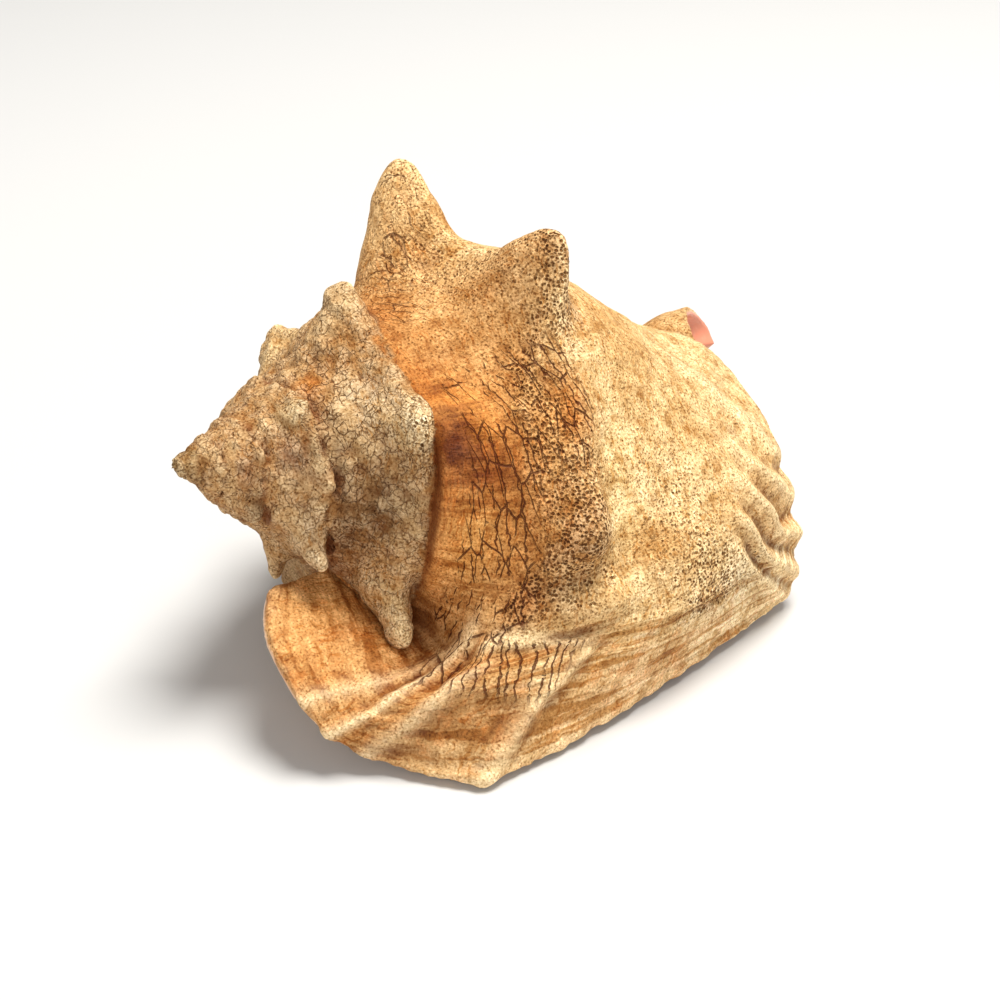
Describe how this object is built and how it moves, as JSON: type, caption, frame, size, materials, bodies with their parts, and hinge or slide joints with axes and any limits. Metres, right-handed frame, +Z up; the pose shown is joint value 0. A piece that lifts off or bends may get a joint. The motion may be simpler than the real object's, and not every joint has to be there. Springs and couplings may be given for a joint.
{
  "type": "queen conch shell",
  "caption": "Large spiral sea shell lying on its aperture, with a pointed spire, blunt shoulder horns, a wide flared lip and an upturned siphonal canal.",
  "frame": {"origin": "middle of the bounding box in plan, on the surface that the shell lies on", "axes": "+Z up; +X along the shell's coiling axis in plan, from the pointed apex at -X to the siphonal canal at +X; the flared lip spreads towards -Y"},
  "size_m": [0.2226, 0.149, 0.1453],
  "materials": {
    "shell": "aged chalky outer shell, matt, pitted and cracked; satin pink inside the aperture"
  },
  "bodies": {
    "root": {"conch_shell": "shell"}
  },
  "joints": []
}
